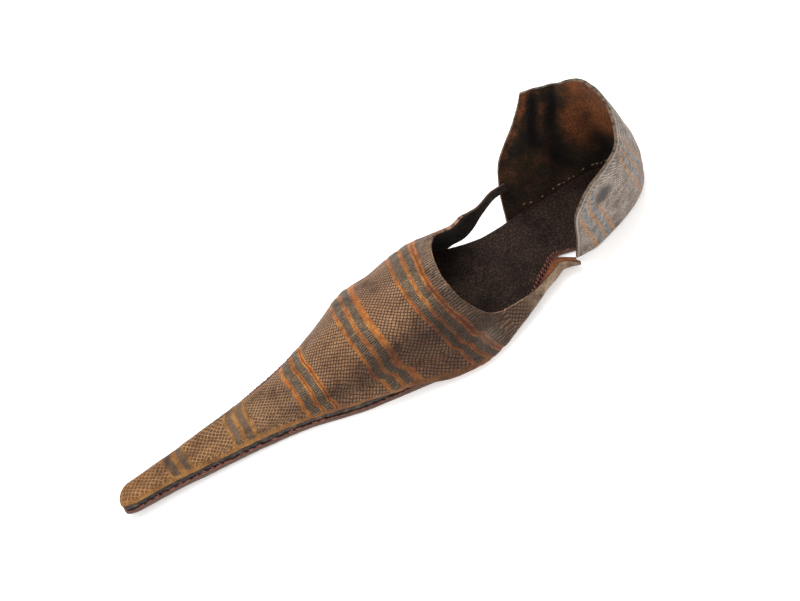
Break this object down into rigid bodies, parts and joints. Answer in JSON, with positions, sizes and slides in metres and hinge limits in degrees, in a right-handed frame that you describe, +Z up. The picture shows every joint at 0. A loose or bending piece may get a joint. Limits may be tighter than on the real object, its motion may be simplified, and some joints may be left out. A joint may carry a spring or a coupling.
{
  "type": "poulaine shoe",
  "caption": "Long-toed medieval leather turnshoe for the right foot, with a low throat, a high open heel piece and a thin shaped sole.",
  "frame": {"origin": "middle of the shoe's bounding box on the ground under the sole", "axes": "+X towards the point, +Y towards the inner side of the foot, +Z up"},
  "size_m": [0.3236, 0.0924, 0.0658],
  "materials": {
    "sole": "worn, dry, matt",
    "rand": "worn, dark, matt",
    "vamp": "tooled and painted, worn satin",
    "quarters": "tooled and painted, worn satin"
  },
  "bodies": {
    "root": {"sole": "sole", "rand": "rand", "upper_vamp": "vamp", "upper_quarters": "quarters"}
  },
  "joints": []
}
